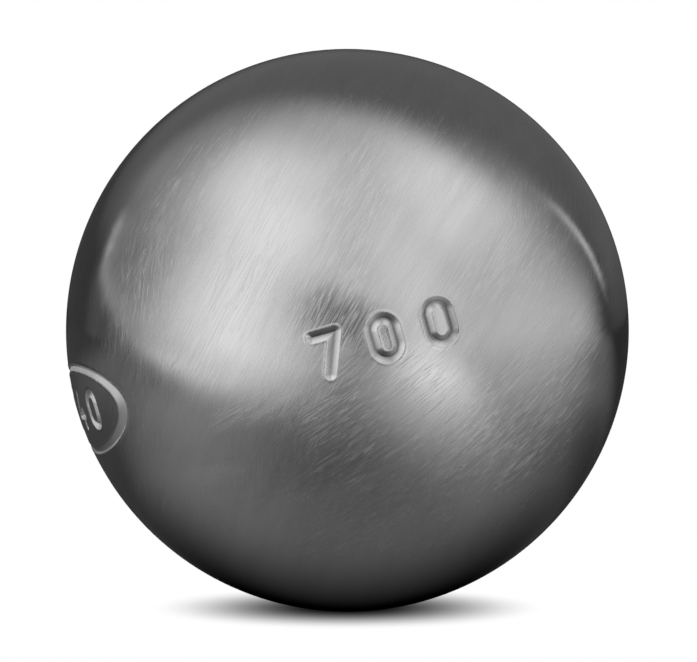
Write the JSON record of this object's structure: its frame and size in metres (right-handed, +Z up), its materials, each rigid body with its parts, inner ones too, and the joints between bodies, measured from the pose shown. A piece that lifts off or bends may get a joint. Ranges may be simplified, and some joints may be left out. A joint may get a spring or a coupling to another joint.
{
  "type": "petanque boule",
  "caption": "Hollow steel ball for petanque, made of welded forged half-shells turned flush, satin brushed, with a plain weight figure and diameter figure stamped in.",
  "frame": {"origin": "centre of the ball", "axes": "+Z up as the ball lies; +Y square to the weld plane, from the stamped front half-shell towards the rear half-shell; +X to the right seen from the front"},
  "size_m": [0.074, 0.074, 0.074],
  "materials": {
    "shell_steel": "forged carbon steel, hardened, satin brushed by hand with fine random hairlines",
    "weld_steel": "weld metal turned flush and brushed like the shells"
  },
  "bodies": {
    "root": {"front_half_shell": "shell_steel", "rear_half_shell": "shell_steel", "weld_bead": "weld_steel"}
  },
  "joints": []
}
